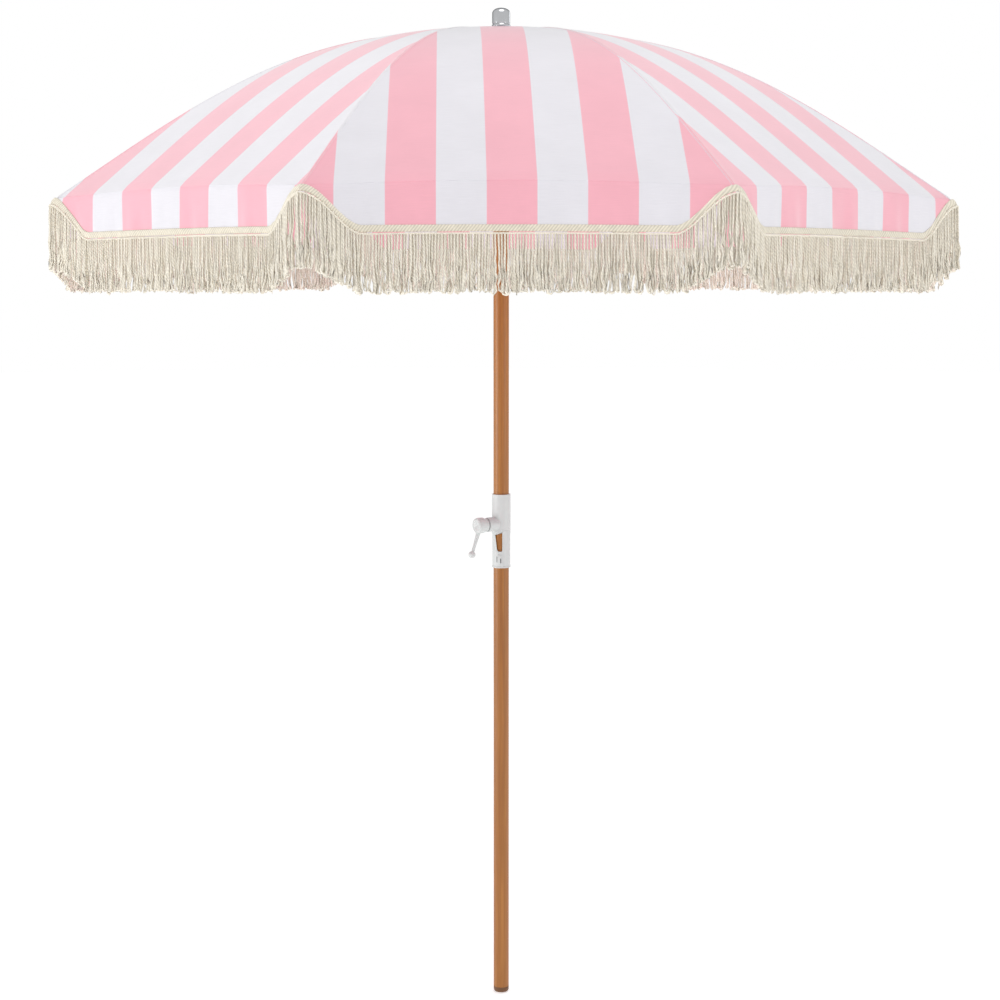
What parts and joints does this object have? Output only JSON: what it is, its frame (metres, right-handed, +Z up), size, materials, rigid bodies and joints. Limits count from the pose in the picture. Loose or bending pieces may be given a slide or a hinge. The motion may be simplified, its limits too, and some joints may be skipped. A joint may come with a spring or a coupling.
{
  "type": "beach umbrella",
  "caption": "Striped beach umbrella with a cream cord fringe on scalloped hems, a wood-look two-part pole, a white clamp-lever tilt joint, folding ribs and a sliding runner.",
  "frame": {"origin": "middle of the flat underside of the pole's foot", "axes": "+Z up the pole to the finial, -Y towards the front, +X to the front's right"},
  "size_m": [1.8924, 1.8924, 2.2314],
  "materials": {
    "pole_finish": "smooth wood-look film on a metal tube, satin",
    "foot_plastic": "moulded brown plastic, slightly soft sheen",
    "white_abs": "moulded white ABS, fine moulded grain, semi-gloss",
    "nylon": "moulded off-white nylon, matt",
    "zinc_steel": "zinc-plated steel",
    "finial_chrome": "polished chrome plate",
    "rib_steel": "powder-coated spring steel, light grey",
    "canopy_fabric": "woven polyester, pink and white stripes, matt",
    "patch_fabric": "woven polyester, white",
    "fringe_cotton": "twisted cotton cord fringe and woven tape, natural cream"
  },
  "bodies": {
    "pole": {"lower_pole": "pole_finish", "pole_foot_plug": "foot_plastic", "lower_sleeve": "white_abs", "tilt_tongue": "white_abs"},
    "upper": {"upper_pole": "pole_finish", "upper_sleeve": "white_abs", "clamp_washer": "zinc_steel", "crown_hub": "nylon", "crown_ring": "zinc_steel", "crown_plate": "nylon", "finial_stud": "zinc_steel", "finial_cap": "finial_chrome", "top_patch": "patch_fabric"},
    "lever": {"clamp_lever": "white_abs", "tilt_bolt": "zinc_steel"},
    "runner": {"runner": "nylon", "runner_ring": "zinc_steel"},
    "button": {"runner_button": "nylon"},
    "rib_arm_1": {"rib_1": "rib_steel", "rib_clip_1": "nylon", "canopy_section_1": "canopy_fabric"},
    "strut_1": {"stretcher_1": "rib_steel"},
    "hem_1": {"valance_1": "fringe_cotton"},
    "rib_arm_2": {"rib_2": "rib_steel", "rib_clip_2": "nylon", "canopy_section_2": "canopy_fabric"},
    "strut_2": {"stretcher_2": "rib_steel"},
    "hem_2": {"valance_2": "fringe_cotton"},
    "rib_arm_3": {"rib_3": "rib_steel", "rib_clip_3": "nylon", "canopy_section_3": "canopy_fabric"},
    "strut_3": {"stretcher_3": "rib_steel"},
    "hem_3": {"valance_3": "fringe_cotton"},
    "rib_arm_4": {"rib_4": "rib_steel", "rib_clip_4": "nylon", "canopy_section_4": "canopy_fabric"},
    "strut_4": {"stretcher_4": "rib_steel"},
    "hem_4": {"valance_4": "fringe_cotton"},
    "rib_arm_5": {"rib_5": "rib_steel", "rib_clip_5": "nylon", "canopy_section_5": "canopy_fabric"},
    "strut_5": {"stretcher_5": "rib_steel"},
    "hem_5": {"valance_5": "fringe_cotton"},
    "rib_arm_6": {"rib_6": "rib_steel", "rib_clip_6": "nylon", "canopy_section_6": "canopy_fabric"},
    "strut_6": {"stretcher_6": "rib_steel"},
    "hem_6": {"valance_6": "fringe_cotton"},
    "rib_arm_7": {"rib_7": "rib_steel", "rib_clip_7": "nylon", "canopy_section_7": "canopy_fabric"},
    "strut_7": {"stretcher_7": "rib_steel"},
    "hem_7": {"valance_7": "fringe_cotton"},
    "rib_arm_8": {"rib_8": "rib_steel", "rib_clip_8": "nylon", "canopy_section_8": "canopy_fabric"},
    "strut_8": {"stretcher_8": "rib_steel"},
    "hem_8": {"valance_8": "fringe_cotton"}
  },
  "joints": [
    {"name": "tilt", "type": "hinge", "parent": "pole", "child": "upper", "pos_m": [0, 0, 1.0755], "axis": [-0.8192, -0.5736, 0], "range_deg": [0, 40]},
    {"name": "lever_turn", "type": "hinge", "parent": "upper", "child": "lever", "pos_m": [0, 0, 1.0755], "axis": [-0.8192, -0.5736, 0], "range_deg": [0, 120]},
    {"name": "runner_slide", "type": "slide", "parent": "upper", "child": "runner", "axis": [0, 0, -1], "range_m": [0, 0.6341], "deforming": ["canopy_section_1", "canopy_section_2", "canopy_section_3", "canopy_section_4", "canopy_section_5", "canopy_section_6", "canopy_section_7", "canopy_section_8", "valance_1", "valance_2", "valance_3", "valance_4", "valance_5", "valance_6", "valance_7", "valance_8"]},
    {"name": "button_push", "type": "slide", "parent": "runner", "child": "button", "axis": [-0.9994, -0.0349, 0], "range_m": [0, 0.003], "stiffness_N_per_m": 1200},
    {"name": "rib_fold_1", "type": "hinge", "parent": "upper", "child": "rib_arm_1", "pos_m": [0.01244, -0.0273, 2.165], "axis": [0.91, 0.4147, 0], "range_deg": [0, 66.82]},
    {"name": "strut_turn_1", "type": "hinge", "parent": "runner", "child": "strut_1", "pos_m": [0.01244, -0.0273, 1.86161], "axis": [-0.91, -0.4147, 0], "range_deg": [0, 52.79]},
    {"name": "hem_turn_1", "type": "hinge", "parent": "rib_arm_1", "child": "hem_1", "pos_m": [0.4093, -0.89813, 1.79], "axis": [-0.91, -0.4147, 0], "range_deg": [0, 66.82]},
    {"name": "rib_fold_2", "type": "hinge", "parent": "upper", "child": "rib_arm_2", "pos_m": [0.0281, -0.01051, 2.165], "axis": [0.3502, 0.9367, 0], "range_deg": [0, 66.82]},
    {"name": "strut_turn_2", "type": "hinge", "parent": "runner", "child": "strut_2", "pos_m": [0.0281, -0.01051, 1.86161], "axis": [-0.3502, -0.9367, 0], "range_deg": [0, 52.79]},
    {"name": "hem_turn_2", "type": "hinge", "parent": "rib_arm_2", "child": "hem_2", "pos_m": [0.92449, -0.34565, 1.79], "axis": [-0.3502, -0.9367, 0], "range_deg": [0, 66.82]},
    {"name": "rib_fold_3", "type": "hinge", "parent": "upper", "child": "rib_arm_3", "pos_m": [0.0273, 0.01244, 2.165], "axis": [-0.4147, 0.91, 0], "range_deg": [0, 66.82]},
    {"name": "strut_turn_3", "type": "hinge", "parent": "runner", "child": "strut_3", "pos_m": [0.0273, 0.01244, 1.86161], "axis": [0.4147, -0.91, 0], "range_deg": [0, 52.79]},
    {"name": "hem_turn_3", "type": "hinge", "parent": "rib_arm_3", "child": "hem_3", "pos_m": [0.89813, 0.4093, 1.79], "axis": [0.4147, -0.91, 0], "range_deg": [0, 66.82]},
    {"name": "rib_fold_4", "type": "hinge", "parent": "upper", "child": "rib_arm_4", "pos_m": [0.01051, 0.0281, 2.165], "axis": [-0.9367, 0.3502, 0], "range_deg": [0, 66.82]},
    {"name": "strut_turn_4", "type": "hinge", "parent": "runner", "child": "strut_4", "pos_m": [0.01051, 0.0281, 1.86161], "axis": [0.9367, -0.3502, 0], "range_deg": [0, 52.79]},
    {"name": "hem_turn_4", "type": "hinge", "parent": "rib_arm_4", "child": "hem_4", "pos_m": [0.34565, 0.92449, 1.79], "axis": [0.9367, -0.3502, 0], "range_deg": [0, 66.82]},
    {"name": "rib_fold_5", "type": "hinge", "parent": "upper", "child": "rib_arm_5", "pos_m": [-0.01244, 0.0273, 2.165], "axis": [-0.91, -0.4147, 0], "range_deg": [0, 66.82]},
    {"name": "strut_turn_5", "type": "hinge", "parent": "runner", "child": "strut_5", "pos_m": [-0.01244, 0.0273, 1.86161], "axis": [0.91, 0.4147, 0], "range_deg": [0, 52.79]},
    {"name": "hem_turn_5", "type": "hinge", "parent": "rib_arm_5", "child": "hem_5", "pos_m": [-0.4093, 0.89813, 1.79], "axis": [0.91, 0.4147, 0], "range_deg": [0, 66.82]},
    {"name": "rib_fold_6", "type": "hinge", "parent": "upper", "child": "rib_arm_6", "pos_m": [-0.0281, 0.01051, 2.165], "axis": [-0.3502, -0.9367, 0], "range_deg": [0, 66.82]},
    {"name": "strut_turn_6", "type": "hinge", "parent": "runner", "child": "strut_6", "pos_m": [-0.0281, 0.01051, 1.86161], "axis": [0.3502, 0.9367, 0], "range_deg": [0, 52.79]},
    {"name": "hem_turn_6", "type": "hinge", "parent": "rib_arm_6", "child": "hem_6", "pos_m": [-0.92449, 0.34565, 1.79], "axis": [0.3502, 0.9367, 0], "range_deg": [0, 66.82]},
    {"name": "rib_fold_7", "type": "hinge", "parent": "upper", "child": "rib_arm_7", "pos_m": [-0.0273, -0.01244, 2.165], "axis": [0.4147, -0.91, 0], "range_deg": [0, 66.82]},
    {"name": "strut_turn_7", "type": "hinge", "parent": "runner", "child": "strut_7", "pos_m": [-0.0273, -0.01244, 1.86161], "axis": [-0.4147, 0.91, 0], "range_deg": [0, 52.79]},
    {"name": "hem_turn_7", "type": "hinge", "parent": "rib_arm_7", "child": "hem_7", "pos_m": [-0.89813, -0.4093, 1.79], "axis": [-0.4147, 0.91, 0], "range_deg": [0, 66.82]},
    {"name": "rib_fold_8", "type": "hinge", "parent": "upper", "child": "rib_arm_8", "pos_m": [-0.01051, -0.0281, 2.165], "axis": [0.9367, -0.3502, 0], "range_deg": [0, 66.82]},
    {"name": "strut_turn_8", "type": "hinge", "parent": "runner", "child": "strut_8", "pos_m": [-0.01051, -0.0281, 1.86161], "axis": [-0.9367, 0.3502, 0], "range_deg": [0, 52.79]},
    {"name": "hem_turn_8", "type": "hinge", "parent": "rib_arm_8", "child": "hem_8", "pos_m": [-0.34565, -0.92449, 1.79], "axis": [-0.9367, 0.3502, 0], "range_deg": [0, 66.82]}
  ],
  "couplings": [
    {"joint": "rib_fold_1", "follows": "runner_slide", "rad_per_m": 1.8392},
    {"joint": "strut_turn_1", "follows": "runner_slide", "rad_per_m": 1.453},
    {"joint": "hem_turn_1", "follows": "runner_slide", "rad_per_m": 1.8392},
    {"joint": "rib_fold_2", "follows": "runner_slide", "rad_per_m": 1.8392},
    {"joint": "strut_turn_2", "follows": "runner_slide", "rad_per_m": 1.453},
    {"joint": "hem_turn_2", "follows": "runner_slide", "rad_per_m": 1.8392},
    {"joint": "rib_fold_3", "follows": "runner_slide", "rad_per_m": 1.8392},
    {"joint": "strut_turn_3", "follows": "runner_slide", "rad_per_m": 1.453},
    {"joint": "hem_turn_3", "follows": "runner_slide", "rad_per_m": 1.8392},
    {"joint": "rib_fold_4", "follows": "runner_slide", "rad_per_m": 1.8392},
    {"joint": "strut_turn_4", "follows": "runner_slide", "rad_per_m": 1.453},
    {"joint": "hem_turn_4", "follows": "runner_slide", "rad_per_m": 1.8392},
    {"joint": "rib_fold_5", "follows": "runner_slide", "rad_per_m": 1.8392},
    {"joint": "strut_turn_5", "follows": "runner_slide", "rad_per_m": 1.453},
    {"joint": "hem_turn_5", "follows": "runner_slide", "rad_per_m": 1.8392},
    {"joint": "rib_fold_6", "follows": "runner_slide", "rad_per_m": 1.8392},
    {"joint": "strut_turn_6", "follows": "runner_slide", "rad_per_m": 1.453},
    {"joint": "hem_turn_6", "follows": "runner_slide", "rad_per_m": 1.8392},
    {"joint": "rib_fold_7", "follows": "runner_slide", "rad_per_m": 1.8392},
    {"joint": "strut_turn_7", "follows": "runner_slide", "rad_per_m": 1.453},
    {"joint": "hem_turn_7", "follows": "runner_slide", "rad_per_m": 1.8392},
    {"joint": "rib_fold_8", "follows": "runner_slide", "rad_per_m": 1.8392},
    {"joint": "strut_turn_8", "follows": "runner_slide", "rad_per_m": 1.453},
    {"joint": "hem_turn_8", "follows": "runner_slide", "rad_per_m": 1.8392}
  ]
}
